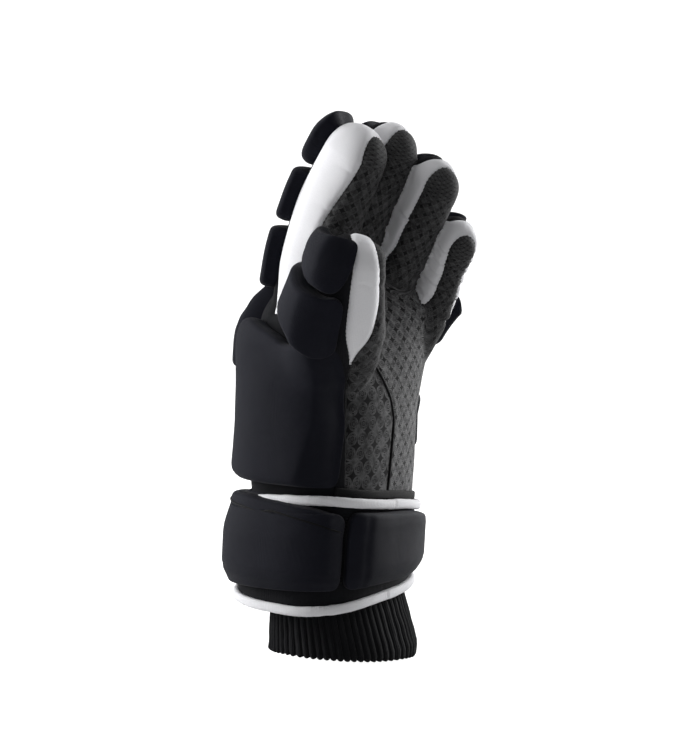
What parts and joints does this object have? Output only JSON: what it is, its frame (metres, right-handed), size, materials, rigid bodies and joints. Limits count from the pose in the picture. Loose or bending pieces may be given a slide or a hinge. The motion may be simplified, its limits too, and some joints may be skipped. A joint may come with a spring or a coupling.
{
  "type": "padded field hockey glove",
  "caption": "Left-hand field hockey glove with foam pads on back, fingers and wrist, white stretch gussets, printed palm and ribbed knit cuff.",
  "frame": {"origin": "middle of the knitted cuff's mouth, where the wrist goes in", "axes": "+Z from the cuff to the fingertips, -Y the way the palm faces, -X towards the thumb"},
  "size_m": [0.1284, 0.1164, 0.2724],
  "materials": {
    "palm_cloth": "matt printed synthetic suede, dark grey",
    "back_cloth": "matt black woven stretch cloth",
    "gusset_stretch": "smooth white stretch knit",
    "finger_foam": "closed-cell foam faced with fine black knit, satin",
    "thumb_foam": "closed-cell foam faced with fine black knit, satin",
    "hand_foam": "closed-cell foam faced with fine black knit, satin",
    "gauntlet_cloth": "matt black woven cloth",
    "edge_tape": "white folded knit tape, matt",
    "wrist_foam": "closed-cell foam faced with fine black knit, satin",
    "hem_tape_black": "black folded tape, matt",
    "rib_knit": "black rib knit, matt"
  },
  "bodies": {
    "root": {"palm_panel": "palm_cloth", "back_panel": "back_cloth", "index_gusset": "gusset_stretch", "middle_gusset": "gusset_stretch", "ring_gusset": "gusset_stretch", "little_gusset": "gusset_stretch", "thumb_gusset": "gusset_stretch", "index_pad_base": "finger_foam", "index_pad_middle": "finger_foam", "index_pad_tip": "finger_foam", "middle_pad_base": "finger_foam", "middle_pad_middle": "finger_foam", "middle_pad_tip": "finger_foam", "ring_pad_base": "finger_foam", "ring_pad_middle": "finger_foam", "ring_pad_tip": "finger_foam", "little_pad_base": "finger_foam", "little_pad_middle": "finger_foam", "little_pad_tip": "finger_foam", "thumb_pad_base": "thumb_foam", "thumb_pad_tip": "thumb_foam", "side_pad": "hand_foam", "knuckle_pad": "hand_foam", "hand_back_pad": "hand_foam", "little_side_pad_upper": "hand_foam", "little_side_pad_lower": "hand_foam", "gauntlet_band": "gauntlet_cloth", "gauntlet_tape_lower": "edge_tape", "gauntlet_tape_upper": "edge_tape", "wrist_pad_back": "wrist_foam", "wrist_pad_front": "wrist_foam", "hem_tape": "hem_tape_black", "knit_cuff": "rib_knit"}
  },
  "joints": []
}
